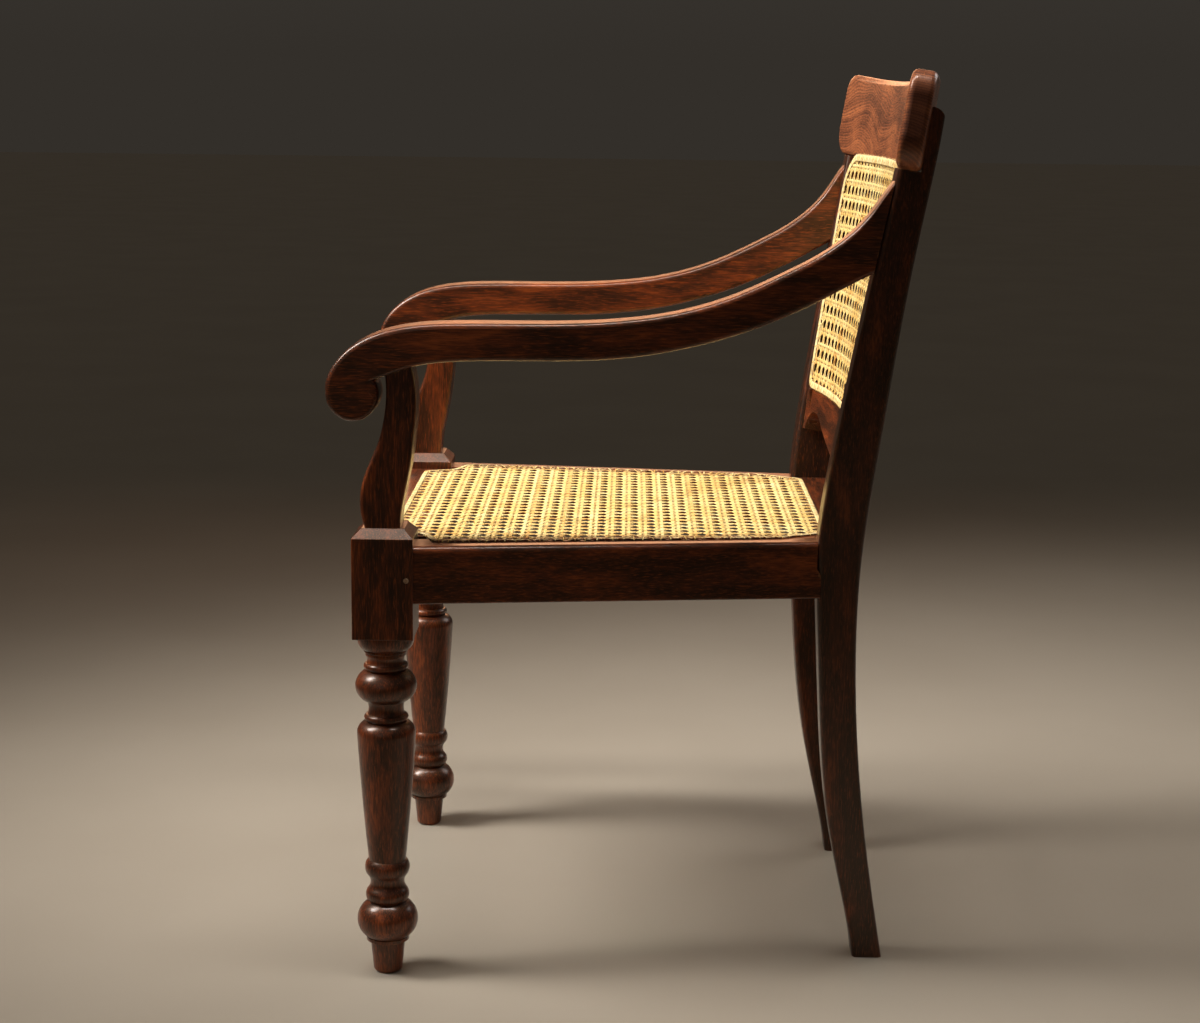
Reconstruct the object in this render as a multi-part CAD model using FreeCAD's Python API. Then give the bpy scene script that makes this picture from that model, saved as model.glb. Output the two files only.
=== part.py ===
"""Colonial armchair: turned front legs, scrolled arms, sabre back legs, caned seat and back.

Millimetres. X runs across the chair with the sitter's left at +X, the front faces -Y and Z is up.
The pieces are drawn from the line of the front legs and moved at the end, so that the origin
lies on the floor under the middle of the whole chair.
"""
import FreeCAD, Part
import math
import os

V = FreeCAD.Vector
X_AXIS = V(1, 0, 0)
Y_AXIS = V(0, 1, 0)
Z_AXIS = V(0, 0, 1)

# Driving sizes of the seat frame
SEAT_Z = 437.0            # top of the four seat rails
RAIL_HEIGHT = 56.0
RAIL_WIDTH = 40.0
FRONT_RAIL_WIDTH = 62.0   # carries the border of the cane past the leg blocks
RAIL_ROUND = 6.0          # rounded outer lip of the rails
RAIL_EASE = 2.0           # eased lower edges
TENON_THICK = 12.0
TENON_HEIGHT = 40.0
PEG_DIAMETER = 5.0
PEG_Z = 405.0
JOINT_GAP = 0.1           # between the shoulder of a side rail and its back leg

# Driving sizes of the front legs
LEG_X = 226.7             # half the distance between the leg axes
LEG_Y = -236.0
BLOCK = 59.0              # square block at the seat
BLOCK_BOTTOM = 346.0
BLOCK_TOP = 454.0
BLOCK_CHAMFER = 9.0
BLOCK_EASE = 1.0

# Driving sizes of the back legs: front, back and outer side at evenly spaced heights
POST_STEP = 107.0
POST_STATIONS = [
    (233.5, 263.5, 178.0),
    (211.6, 245.4, 184.6),
    (195.3, 232.0, 191.2),
    (188.0, 225.6, 197.8),
    (184.0, 228.0, 205.0),
    (196.6, 239.8, 219.0),
    (214.6, 252.5, 235.8),
    (233.2, 268.0, 252.6),
    (251.2, 283.4, 269.4),
]
POST_WIDTH = 34.0
POST_ROUND = 5.0
POST_TOP_ROUND = 14.0

# Driving sizes of the arms and their uprights: upper and lower edge of the arm in side view
ARM_STATIONS = [
    ((258.0, 802.0), (245.0, 713.5)),
    ((219.7, 758.1), (218.0, 698.4)),
    ((191.8, 730.0), (200.0, 688.7)),
    ((145.9, 702.5), (163.0, 669.0)),
    ((93.2, 678.0), (106.5, 645.0)),
    ((40.9, 662.3), (48.0, 628.5)),
    ((-11.6, 654.6), (-8.0, 619.3)),
    ((-90.0, 651.2), (-90.0, 616.0)),
    ((-165.0, 650.8), (-162.0, 615.0)),
    ((-218.8, 646.2), (-206.7, 609.3)),
    ((-249.0, 636.8), (-228.5, 602.0)),
    ((-270.5, 623.0), (-241.0, 597.3)),
    ((-284.0, 606.5), (-247.0, 594.0)),
    ((-287.4, 581.0), (-240.5, 580.0)),
]
ARM_INNER = 206.0         # inner side at the scroll
ARM_WIDTH = 44.0
ARM_TAIL_WIDTH = 24.0
ARM_TAIL_INSET = 1.0      # from the outer side of the back leg
ARM_ROUND = 4.5
SUPPORT_WIDTH = 38.0
SUPPORT_ROUND = 3.5

# Driving sizes of the back
RAKE = 0.1554             # lean of the back per unit of height
TABLET_RADIUS = 1350.0
TABLET_THICK = 24.0
TABLET_BOTTOM = 800.0
TABLET_TOP = 892.0
TABLET_HALF = 292.0
TABLET_DIP = 5.0
TABLET_ROUND = 5.5
TABLET_SETBACK = 3.9      # from the front of the back legs at their inner edges
LOW_RAIL_RADIUS = 820.0
LOW_RAIL_THICK = 22.0
LOW_RAIL_TOP = 545.0
LOW_RAIL_FOOT = 493.5
LOW_RAIL_DROP = 487.0
LOW_RAIL_ARCH = 517.0
LOW_RAIL_SETBACK = 5.0

# Driving sizes of the cane
CANE_THICK = 2.2
BINDER_THICK = 1.4
BINDER_WIDTH = 6.0
CANE_INSET = 22.0         # from the outer face of a rail to the line of holes
CANE_LAP = 6.0            # lap of the back cane on its two rails
CANE_SIDE_GAP = 0.8       # between the back cane and the legs
SEAT_MESH = 23.0
BACK_MESH = 18.6
MESH_OPEN = 0.46          # open share of the mesh pitch
BACK_CANE_GAP = 0.9

RAIL_BOTTOM = SEAT_Z - RAIL_HEIGHT
TENON_BOTTOM = RAIL_BOTTOM + 7.0
BLOCK_HALF = BLOCK / 2.0
BLOCK_INNER = LEG_X - BLOCK_HALF
BLOCK_OUTER = LEG_X + BLOCK_HALF
BLOCK_FRONT = LEG_Y - BLOCK_HALF
BLOCK_BACK = LEG_Y + BLOCK_HALF
FRONT_RAIL_Y = BLOCK_FRONT + 4.5
POST_FRONT = POST_STATIONS[4][0] + 3.6
SIDE_RAIL_FRONT_X = BLOCK_OUTER - 4.2
SIDE_RAIL_REAR_X = 203.0
SIDE_RAIL_SLOPE = (SIDE_RAIL_REAR_X - SIDE_RAIL_FRONT_X) / (POST_FRONT - BLOCK_BACK)
ARM_X = ARM_INNER + ARM_WIDTH / 2.0


def box(x0, x1, y0, y1, z0, z1):
    """Box between two corners."""
    return Part.makeBox(x1 - x0, y1 - y0, z1 - z0, V(x0, y0, z0))


def peg(start, end, diameter):
    """Round pin from one point to another."""
    axis = end - start
    return Part.makeCylinder(diameter / 2.0, axis.Length, start, axis)


def mirrored(shape):
    """The same piece on the other side of the chair."""
    return shape.mirror(V(0, 0, 0), X_AXIS)


def spline(points, first=None, last=None):
    """Smooth edge through points, with set directions at the ends where given."""
    curve = Part.BSplineCurve()
    if first and last:
        curve.interpolate(Points=points, InitialTangent=first, FinalTangent=last)
    else:
        curve.interpolate(points)
    return curve.toShape()


def arc(first, middle, last):
    """Round edge through three points."""
    return Part.Arc(first, middle, last).toShape()


def line(first, last):
    """Straight edge."""
    return Part.LineSegment(first, last).toShape()


def face(edges):
    """Flat face inside a closed run of edges."""
    return Part.Face(Part.Wire(Part.__sortEdges__(edges)))


def holed_face(outlines):
    """Flat face inside the first outline, open inside the others."""
    return Part.makeFace(outlines, "Part::FaceMakerBullseye")


def side_points(x, pairs):
    """Points of a side view, at one place across the chair."""
    return [V(x, y, z) for y, z in pairs]


def edges_where(shape, test):
    """Edges of a solid whose middle point and length pass a test."""
    found = []
    for edge in shape.Edges:
        middle = edge.valueAt((edge.FirstParameter + edge.LastParameter) / 2.0)
        if test(edge, middle):
            found.append(edge)
    return found


# Front legs


def turned_leg():
    """Turned lower part of a front leg, from its neck under the block down to the floor."""
    def p(radius, z):
        return V(radius, 0, z)

    top = BLOCK_BOTTOM
    edges = [
        line(p(0, top), p(28.5, top)),
        arc(p(28.5, top), p(23.4, 339.5), p(21.5, 331.5)),
        line(p(21.5, 331.5), p(21.5, 329.0)),
        line(p(21.5, 329.0), p(20.0, 328.0)),
        line(p(20.0, 328.0), p(20.0, 325.5)),
        arc(p(20.0, 325.5), p(18.2, 321.0), p(19.0, 317.2)),
        line(p(19.0, 317.2), p(20.0, 317.2)),
        arc(p(20.0, 317.2), p(21.6, 314.2), p(20.0, 311.2)),
        line(p(20.0, 311.2), p(18.5, 310.4)),
        arc(p(18.5, 310.4), p(30.0, 295.0), p(18.5, 278.6)),
        arc(p(18.5, 278.6), p(17.2, 272.0), p(18.2, 266.0)),
        line(p(18.2, 266.0), p(19.8, 265.8)),
        arc(p(19.8, 265.8), p(21.7, 262.6), p(19.8, 259.4)),
        line(p(19.8, 259.4), p(18.8, 258.8)),
        arc(p(18.8, 258.8), p(25.6, 255.0), p(28.8, 246.0)),
        arc(p(28.8, 246.0), p(24.3, 181.0), p(18.4, 116.6)),
        line(p(18.4, 116.6), p(19.6, 116.0)),
        arc(p(19.6, 116.0), p(22.3, 108.4), p(19.6, 100.8)),
        arc(p(19.6, 100.8), p(16.8, 93.5), p(19.4, 86.4)),
        arc(p(19.4, 86.4), p(21.6, 80.2), p(19.4, 74.0)),
        line(p(19.4, 74.0), p(18.6, 73.4)),
        arc(p(18.6, 73.4), p(30.0, 57.0), p(20.6, 37.0)),
        line(p(20.6, 37.0), p(21.2, 36.4)),
        line(p(21.2, 36.4), p(21.2, 33.2)),
        line(p(21.2, 33.2), p(17.2, 32.4)),
        line(p(17.2, 32.4), p(14.4, 4.0)),
        arc(p(14.4, 4.0), p(13.2, 1.1), p(10.5, 0)),
        line(p(10.5, 0), p(0, 0)),
        line(p(0, 0), p(0, top)),
    ]
    turned = face(edges).revolve(V(0, 0, 0), Z_AXIS, 360)
    turned.translate(V(LEG_X, LEG_Y, 0))
    return turned


def front_leg(sockets):
    """Front leg with its square block, hollowed for the tenons, dowel and pegs that enter it."""
    block = box(BLOCK_INNER, BLOCK_OUTER, BLOCK_FRONT, BLOCK_BACK, BLOCK_BOTTOM, BLOCK_TOP)
    top = edges_where(block, lambda edge, middle: abs(middle.z - BLOCK_TOP) < 0.01)
    block = block.makeChamfer(BLOCK_CHAMFER, top)
    block = block.makeFillet(BLOCK_EASE, block.Edges)
    leg = block.fuse(turned_leg()).removeSplitter()
    for socket in sockets:
        leg = leg.cut(socket)
    return leg


# Back legs


def rounded_section(corner, across, up, width, height, radius):
    """Closed outline of a bar: a rectangle from one corner, with rounded or sharp corners."""
    def at(u, v):
        return corner + across * u + up * v

    if radius == 0:
        corners = [at(0, 0), at(width, 0), at(width, height), at(0, height)]
        return Part.makePolygon(corners + corners[:1])
    far_u, far_v = width - radius, height - radius
    bulge = radius * (1.0 - math.sqrt(0.5))
    return Part.Wire([
        line(at(radius, 0), at(far_u, 0)),
        arc(at(far_u, 0), at(width - bulge, bulge), at(width, radius)),
        line(at(width, radius), at(width, far_v)),
        arc(at(width, far_v), at(width - bulge, height - bulge), at(far_u, height)),
        line(at(far_u, height), at(radius, height)),
        arc(at(radius, height), at(bulge, height - bulge), at(0, far_v)),
        line(at(0, far_v), at(0, radius)),
        arc(at(0, radius), at(bulge, bulge), at(radius, 0)),
    ])


def post_blank(radius, margin=0.0):
    """Sabre-shaped left back leg before its joints are cut, wider by a margin on both sides."""
    width = POST_WIDTH + 2.0 * margin
    sections = []
    for step, (front, back, outer) in enumerate(POST_STATIONS):
        corner = V(outer + margin - width, front, step * POST_STEP)
        sections.append(rounded_section(corner, X_AXIS, Y_AXIS, width, back - front, radius))
    return Part.makeLoft(sections, True, False)


def post_at(z):
    """Front, back and outer side of a back leg at a height, straight between its stations."""
    step = min(int(z / POST_STEP), len(POST_STATIONS) - 2)
    share = z / POST_STEP - step
    return [a + share * (b - a) for a, b in zip(POST_STATIONS[step], POST_STATIONS[step + 1])]


def post_top_waste():
    """Wood taken off the back corner at the top of a left back leg to round it."""
    top = POST_STEP * (len(POST_STATIONS) - 1)
    front, back, outer = POST_STATIONS[-1]
    y, z = back - POST_TOP_ROUND, top - POST_TOP_ROUND
    corner = box(outer - 60.0, outer + 20.0, y, back + 5.0, z, top + 5.0)
    return corner.cut(peg(V(outer - 60.0, y, z), V(outer + 20.0, y, z), 2.0 * POST_TOP_ROUND))


# Back: shapes bent in plan and leaning with the legs


def sagitta(x, radius):
    """How far a bow of this radius stands back at its middle, seen from this distance."""
    return radius - math.sqrt(radius * radius - x * x)


def bowed_strip(z, middle_y, radius, front, back, half):
    """Closed outline in plan, between two bows that are hollow towards the sitter."""
    def at(x, offset):
        return V(x, middle_y - sagitta(x, radius) + offset, z)

    return Part.Wire([
        arc(at(-half, front), at(0, front), at(half, front)),
        line(at(half, front), at(half, back)),
        arc(at(half, back), at(0, back), at(-half, back)),
        line(at(-half, back), at(-half, front)),
    ])


def bowed_slab(z0, z1, middle_y0, radius, front, back, half):
    """Bowed board that leans back with the legs."""
    strip = Part.Face(bowed_strip(z0, middle_y0, radius, front, back, half))
    rise = z1 - z0
    return strip.extrude(V(0, RAKE * rise, rise))


def through_back(outline):
    """Solid of an outline in front view, carried through the back square to its lean."""
    start = outline.copy()
    start.translate(V(0, -80.0, 80.0 * RAKE))
    return start.extrude(V(0, 200.0, -200.0 * RAKE))


def bow_middle(z, radius, setback):
    """Depth of the middle of a bowed piece whose front lies this far behind the legs' inner edges."""
    front, back, outer = post_at(z)
    return front + setback + sagitta(outer - POST_WIDTH, radius)


def tablet_outline():
    """Front view of the crest tablet: rounded ears, hollow top and straight foot."""
    y = post_at(TABLET_BOTTOM)[0]

    def p(x, z):
        return V(x, y, z)

    foot = post_at(TABLET_BOTTOM)[2]
    shoulder = TABLET_HALF - 23.0
    ear_low = TABLET_BOTTOM + 32.0
    ear_high = TABLET_TOP - 24.0
    edges = [
        line(p(-foot, TABLET_BOTTOM), p(foot, TABLET_BOTTOM)),
        arc(p(shoulder, TABLET_TOP), p(0, TABLET_TOP - TABLET_DIP), p(-shoulder, TABLET_TOP)),
    ]
    for side in (1, -1):
        low = p(side * TABLET_HALF, ear_low)
        high = p(side * (TABLET_HALF - 1.0), ear_high)
        edges += [
            arc(p(side * foot, TABLET_BOTTOM), p(side * (TABLET_HALF - 8.5), TABLET_BOTTOM + 10.0), low),
            line(low, high),
            arc(high, p(side * (TABLET_HALF - 7.0), TABLET_TOP - 7.0), p(side * shoulder, TABLET_TOP)),
        ]
    return face(edges), y


def tablet_blank():
    """Crest tablet and the notch that it needs in the back legs."""
    outline, y = tablet_outline()
    low = TABLET_BOTTOM - 40.0
    high = TABLET_TOP + 40.0
    middle = bow_middle(TABLET_BOTTOM, TABLET_RADIUS, TABLET_SETBACK) - 40.0 * RAKE
    board = bowed_slab(low, high, middle, TABLET_RADIUS, 0.0, TABLET_THICK, TABLET_HALF + 10.0)
    tablet = board.common(through_back(outline)).Solids[0]
    rim = edges_where(tablet, lambda edge, middle: middle.z > TABLET_BOTTOM + 3.0)
    tablet = tablet.makeFillet(TABLET_ROUND, rim)
    ahead = bowed_slab(low, high, middle, TABLET_RADIUS, -60.0, TABLET_THICK, TABLET_HALF + 10.0)
    above = Part.Face(rounded_section(V(-400, y, TABLET_BOTTOM), X_AXIS, Z_AXIS, 800.0, 200.0, 0))
    return tablet, ahead.common(through_back(above))


def low_rail_outline():
    """Front view of the lower back rail: an arch by each leg and a drop in the middle."""
    front, back, outer = post_at(LOW_RAIL_TOP)
    inner = post_at(LOW_RAIL_ARCH)[2] - POST_WIDTH
    end = outer - POST_WIDTH + 6.0

    def p(x, z):
        return V(x, front, z)

    edges = [line(p(-end, LOW_RAIL_TOP), p(end, LOW_RAIL_TOP))]
    for side in (1, -1):
        foot = (inner - 10.0) * side
        crown = (inner - 36.0) * side
        sweep = [p(crown, LOW_RAIL_ARCH), p(side * 104.0, 505.0), p(side * 60.0, 493.0), p(0, LOW_RAIL_DROP)]
        edges += [
            line(p(end * side, LOW_RAIL_TOP), p(end * side, LOW_RAIL_FOOT)),
            line(p(end * side, LOW_RAIL_FOOT), p(foot, LOW_RAIL_FOOT)),
            arc(p(foot, LOW_RAIL_FOOT), p(foot - 7.0 * side, LOW_RAIL_FOOT + 16.0), p(crown, LOW_RAIL_ARCH)),
            spline(sweep, V(-side, 0, 0), V(-side, 0, 0)),
        ]
    return face(edges)


def low_rail_blank():
    """Lower back rail before its ends are fitted to the legs."""
    outline = low_rail_outline()
    low = LOW_RAIL_DROP - 40.0
    high = LOW_RAIL_TOP + 40.0
    middle = bow_middle(LOW_RAIL_TOP, LOW_RAIL_RADIUS, LOW_RAIL_SETBACK) - RAKE * (LOW_RAIL_TOP - low)
    board = bowed_slab(low, high, middle, LOW_RAIL_RADIUS, 0.0, LOW_RAIL_THICK, 260.0)
    return board.common(through_back(outline))


def low_rail_tenon():
    """Tenon of the lower back rail in the left leg."""
    z0, z1 = LOW_RAIL_FOOT + 6.0, LOW_RAIL_TOP - 6.0
    front, back, outer = post_at((z0 + z1) / 2.0)
    y0 = front + 8.0
    return box(outer - POST_WIDTH - 14.0, outer - 12.0, y0, y0 + 10.0, z0, z1)


# Seat rails


def eased_below(rail):
    """Rail with its long lower edges eased."""
    low = edges_where(rail, lambda edge, middle: edge.Length > 300.0 and middle.z < RAIL_BOTTOM + 0.01)
    return rail.makeFillet(RAIL_EASE, low)


def front_rail():
    """Front seat rail with a tenon at each end."""
    back = FRONT_RAIL_Y + FRONT_RAIL_WIDTH
    rail = box(-BLOCK_INNER, BLOCK_INNER, FRONT_RAIL_Y, back, RAIL_BOTTOM, SEAT_Z)
    lip = edges_where(rail, lambda edge, middle: middle.y < FRONT_RAIL_Y + 0.01
                      and middle.z > SEAT_Z - 0.01)
    return eased_below(rail.makeFillet(RAIL_ROUND, lip)).fuse(front_rail_tenon()).removeSplitter()


def front_rail_tenon():
    """Tenons of the front rail, drawn as one bar through the rail."""
    reach = BLOCK_INNER + 26.0
    y0 = LEG_Y - 10.0
    return box(-reach, reach, y0, y0 + TENON_THICK, TENON_BOTTOM, TENON_BOTTOM + TENON_HEIGHT)


def rear_rail_tenon():
    """Tenons of the rear rail, drawn as one bar through the rail."""
    return box(-190.0, 190.0, 203.0, 203.0 + TENON_THICK, TENON_BOTTOM, TENON_BOTTOM + TENON_HEIGHT)


def rear_rail(envelopes):
    """Rear seat rail between the back legs, with a tenon at each end."""
    rail = eased_below(box(-188.0, 188.0, POST_FRONT, 224.0, RAIL_BOTTOM, SEAT_Z))
    for envelope in envelopes:
        rail = rail.cut(envelope)
    return rail.fuse(rear_rail_tenon()).removeSplitter()


def side_rail_tenons():
    """Tenons of the left side rail: one in the front leg, one in the back leg."""
    top = TENON_BOTTOM + TENON_HEIGHT
    x = BLOCK_INNER + 29.0
    front = box(x, x + TENON_THICK, BLOCK_BACK - 26.0, BLOCK_BACK + 20.0, TENON_BOTTOM, top)
    rear = box(179.0, 179.0 + TENON_THICK, POST_FRONT - 20.0, POST_FRONT + 12.0, TENON_BOTTOM, top)
    return [front, rear]


def side_rail(envelope):
    """Left side rail, running inwards from the front leg to the back leg."""
    plan = Part.makePolygon([
        V(SIDE_RAIL_FRONT_X, BLOCK_BACK, RAIL_BOTTOM),
        V(SIDE_RAIL_REAR_X, POST_FRONT, RAIL_BOTTOM),
        V(SIDE_RAIL_REAR_X - RAIL_WIDTH, POST_FRONT, RAIL_BOTTOM),
        V(SIDE_RAIL_FRONT_X - RAIL_WIDTH, BLOCK_BACK, RAIL_BOTTOM),
        V(SIDE_RAIL_FRONT_X, BLOCK_BACK, RAIL_BOTTOM),
    ])
    rail = Part.Face(plan).extrude(V(0, 0, RAIL_HEIGHT))
    centre = (SIDE_RAIL_FRONT_X + SIDE_RAIL_REAR_X) / 2.0
    lip = edges_where(rail, lambda edge, middle: abs(middle.x - centre) < 1.0
                      and middle.z > SEAT_Z - 0.01)
    rail = eased_below(rail.makeFillet(RAIL_ROUND, lip)).cut(envelope)
    for tenon in side_rail_tenons():
        rail = rail.fuse(tenon)
    return rail.removeSplitter()


# Arms


def arm_section(top, under):
    """Lower inner corner, upward edge and width of the left arm between two points of its side view.

    From the scroll to the tail the arm narrows and moves out to follow the splay of the back leg.
    """
    scroll, tail = ARM_STATIONS[-1][0][0], ARM_STATIONS[0][0][0]
    blend = ((top[0] - scroll) / (tail - scroll)) ** 2
    width = ARM_WIDTH + blend * (ARM_TAIL_WIDTH - ARM_WIDTH)

    def inner(z):
        tail_inner = post_at(z)[2] - ARM_TAIL_INSET - ARM_TAIL_WIDTH
        return ARM_INNER + blend * (tail_inner - ARM_INNER)

    corner = V(inner(under[1]), under[0], under[1])
    return corner, V(inner(top[1]), top[0], top[1]) - corner, width


def arm_outline(top, under):
    """Closed outline of the left arm between two points of its side view."""
    corner, rise, width = arm_section(top, under)
    height = rise.Length
    return rounded_section(corner, X_AXIS, rise.normalize(), width, height, ARM_ROUND)


def arm_roll():
    """Round lower half of the scroll, turned about the middle of the arm's last section."""
    corner, rise, width = arm_section(*ARM_STATIONS[-1])
    centre = corner + rise * 0.5
    reach = rise.Length
    front_half = box(corner.x - 10.0, corner.x + width + 10.0, centre.y - reach, centre.y,
                     centre.z - reach, centre.z + reach)
    section = Part.Face(arm_outline(*ARM_STATIONS[-1])).common(front_half)
    return section.Faces[0].revolve(centre, X_AXIS, 180)


def arm_blank():
    """Left arm before it is fitted to the back leg: one sweep that ends in a rolled scroll."""
    sections = [arm_outline(top, under) for top, under in ARM_STATIONS]
    return Part.makeLoft(sections, True, False).fuse(arm_roll())


def arm_support_blank():
    """Left upright between a front leg and its arm, S-shaped in side view."""
    x = ARM_X - SUPPORT_WIDTH / 2.0
    front = side_points(x, [(-253.5, BLOCK_TOP), (-257.0, 468.0), (-257.4, 487.0), (-251.0, 511.0),
                            (-240.0, 537.0), (-234.6, 559.0), (-232.2, 580.0), (-236.0, 615.0)])
    back = side_points(x, [(-219.2, BLOCK_TOP), (-216.3, 481.0), (-210.2, 510.0), (-206.0, 540.0),
                           (-203.4, 570.0), (-204.6, 595.0), (-209.0, 615.0)])
    edges = [spline(front), line(front[-1], back[-1]), spline(back), line(back[0], front[0])]
    upright = face(edges).extrude(V(SUPPORT_WIDTH, 0, 0))
    long_edges = edges_where(upright, lambda edge, middle: edge.Length > 100.0)
    return upright.makeFillet(SUPPORT_ROUND, long_edges)


# Pegs and dowels


def side_pegs():
    """Pegs through the left front leg: one for the side rail, one for the front rail."""
    y = BLOCK_BACK - 6.5
    x = BLOCK_INNER + 6.5
    side = peg(V(BLOCK_OUTER + 0.6, y, PEG_Z), V(BLOCK_INNER + 26.0, y, PEG_Z), PEG_DIAMETER)
    front = peg(V(x, BLOCK_FRONT - 0.6, PEG_Z), V(x, LEG_Y + 6.0, PEG_Z), PEG_DIAMETER)
    return [side, front]


def support_foot_dowel():
    """Dowel from the left front leg into its upright."""
    return peg(V(ARM_X, -238.5, BLOCK_TOP - 22.0), V(ARM_X, -238.5, BLOCK_TOP + 28.0), 14.0)


def support_head_dowel():
    """Dowel from the left upright into its arm."""
    return peg(V(ARM_X, -220.5, 576.0), V(ARM_X, -220.5, 630.0), 12.0)


def arm_tail_dowel():
    """Dowel from the left arm into its back leg."""
    return peg(V(237.0, 209.0, 733.0), V(237.0, 255.0, 733.0), 10.0)


def tablet_dowel():
    """Dowel from the left back leg up into the tablet, along the lean of the back."""
    front, back, outer = post_at(TABLET_BOTTOM)
    seat = V(outer - POST_WIDTH / 2.0, front + 11.0, TABLET_BOTTOM)
    lean = V(0, RAKE, 1.0)
    return peg(seat - lean * 30.0, seat + lean * 34.0, 9.0)


# Cane


def mesh_openings(x_limit, y0, y1, pitch, keep, make):
    """Square openings of a cane panel on a regular grid, where the test keeps them."""
    half = pitch * MESH_OPEN / 2.0
    columns = int(x_limit / pitch)
    rows = int((y1 - y0) / pitch)
    openings = []
    for row in range(rows + 1):
        v = y0 + (y1 - y0 - rows * pitch) / 2.0 + row * pitch
        for column in range(-columns, columns + 1):
            u = column * pitch
            if keep(u, v):
                corners = [make(u - half, v - half), make(u + half, v - half), make(u + half, v + half),
                           make(u - half, v + half)]
                openings.append(Part.makePolygon(corners + corners[:1]))
    return openings


def rounded(points, radii):
    """Closed outline through corner points, each corner rounded by its own radius."""
    edges = []
    starts = []
    count = len(points)
    for i, corner in enumerate(points):
        before = (points[i - 1] - corner).normalize()
        after = (points[(i + 1) % count] - corner).normalize()
        turn = before.getAngle(after)
        reach = radii[i] / math.tan(turn / 2.0)
        inward = (before + after).normalize()
        middle = corner + inward * (radii[i] / math.sin(turn / 2.0) - radii[i])
        starts.append((corner + before * reach, corner + after * reach))
        edges.append(arc(starts[-1][0], middle, starts[-1][1]))
    for i in range(count):
        edges.append(line(starts[i][1], starts[(i + 1) % count][0]))
    return Part.Wire(Part.__sortEdges__(edges))


def side_hole_line(y):
    """Where the line of cane holes crosses a left side rail."""
    return SIDE_RAIL_FRONT_X - CANE_INSET + SIDE_RAIL_SLOPE * (y - BLOCK_BACK)


def seat_outline(z):
    """Line of the cane holes round the seat, cut back at the legs."""
    front, rear = FRONT_RAIL_Y + CANE_INSET + 3.0, POST_FRONT + 9.0
    left = [(BLOCK_INNER - 20.0, front), (BLOCK_INNER - 6.0, BLOCK_BACK + 4.5),
            (side_hole_line(-190.0), -190.0), (side_hole_line(150.0), 150.0), (158.0, rear)]
    points = [V(x, y, z) for x, y in left] + [V(-x, y, z) for x, y in reversed(left)]
    radii = [10.0, 14.0, 10.0, 25.0, 18.0]
    return rounded(points, radii + radii[::-1])


def seat_cane():
    """Caned seat: one holed sheet lying on the rails."""
    outline = seat_outline(SEAT_Z)
    inside = Part.Face(outline.makeOffset2D(-(BINDER_WIDTH + 0.72 * SEAT_MESH * MESH_OPEN)))

    def make(x, y):
        return V(x, y, SEAT_Z)

    def keep(x, y):
        return inside.isInside(make(x, y), 0.1, True)

    box_size = outline.BoundBox
    holes = mesh_openings(box_size.XMax, box_size.YMin, box_size.YMax, SEAT_MESH, keep, make)
    print("seat openings", len(holes))
    return holed_face([outline] + holes).extrude(V(0, 0, CANE_THICK))


def seat_binder():
    """Flat cane that covers the holes round the seat."""
    outline = seat_outline(SEAT_Z + CANE_THICK)
    inner = outline.makeOffset2D(-BINDER_WIDTH)
    return holed_face([outline, inner]).extrude(V(0, 0, BINDER_THICK))


def back_outline(y):
    """Line of the cane holes round the back, seen from the front."""
    low = LOW_RAIL_TOP - CANE_LAP
    high = TABLET_BOTTOM + CANE_LAP - 3.0
    wide_low = post_at(low)[2] - POST_WIDTH - CANE_SIDE_GAP
    wide_high = post_at(high)[2] - POST_WIDTH - CANE_SIDE_GAP
    points = [V(wide_low, y, low), V(wide_high, y, high), V(-wide_high, y, high), V(-wide_low, y, low)]
    return rounded(points, [16.0, 38.0, 38.0, 16.0])


def back_slab(front, back):
    """Bent sheet in front of the back's woodwork, between two depths ahead of it."""
    low, high = LOW_RAIL_TOP - 3.0 * CANE_LAP, TABLET_BOTTOM + 3.0 * CANE_LAP
    bows = [(low, LOW_RAIL_TOP, LOW_RAIL_RADIUS, LOW_RAIL_SETBACK),
            (high, TABLET_BOTTOM, TABLET_RADIUS, TABLET_SETBACK)]
    sections = []
    for z, base, radius, setback in bows:
        middle = bow_middle(base, radius, setback) + RAKE * (z - base)
        sections.append(bowed_strip(z, middle, radius, -front, -back, 1.1 * (post_at(z)[2] - POST_WIDTH)))
    return Part.makeLoft(sections, True, True)


def back_cane():
    """Caned back: one holed sheet bent between the lower rail and the tablet."""
    outline = back_outline(100.0)
    inside = Part.Face(outline.makeOffset2D(-(BINDER_WIDTH + 0.72 * BACK_MESH * MESH_OPEN)))

    def make(x, z):
        return V(x, 100.0, z)

    def keep(x, z):
        return inside.isInside(make(x, z), 0.1, True)

    box_size = outline.BoundBox
    holes = mesh_openings(box_size.XMax, box_size.ZMin, box_size.ZMax, BACK_MESH, keep, make)
    print("back openings", len(holes))
    net = holed_face([outline] + holes).extrude(V(0, 300.0, 0))
    return back_slab(BACK_CANE_GAP + CANE_THICK, BACK_CANE_GAP).common(net)


def back_binder():
    """Flat cane that covers the holes round the back."""
    outline = back_outline(100.0)
    ring = holed_face([outline, outline.makeOffset2D(-BINDER_WIDTH)]).extrude(V(0, 300.0, 0))
    depth = BACK_CANE_GAP + CANE_THICK
    return back_slab(depth + BINDER_THICK, depth).common(ring)


# Assembly


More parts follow.
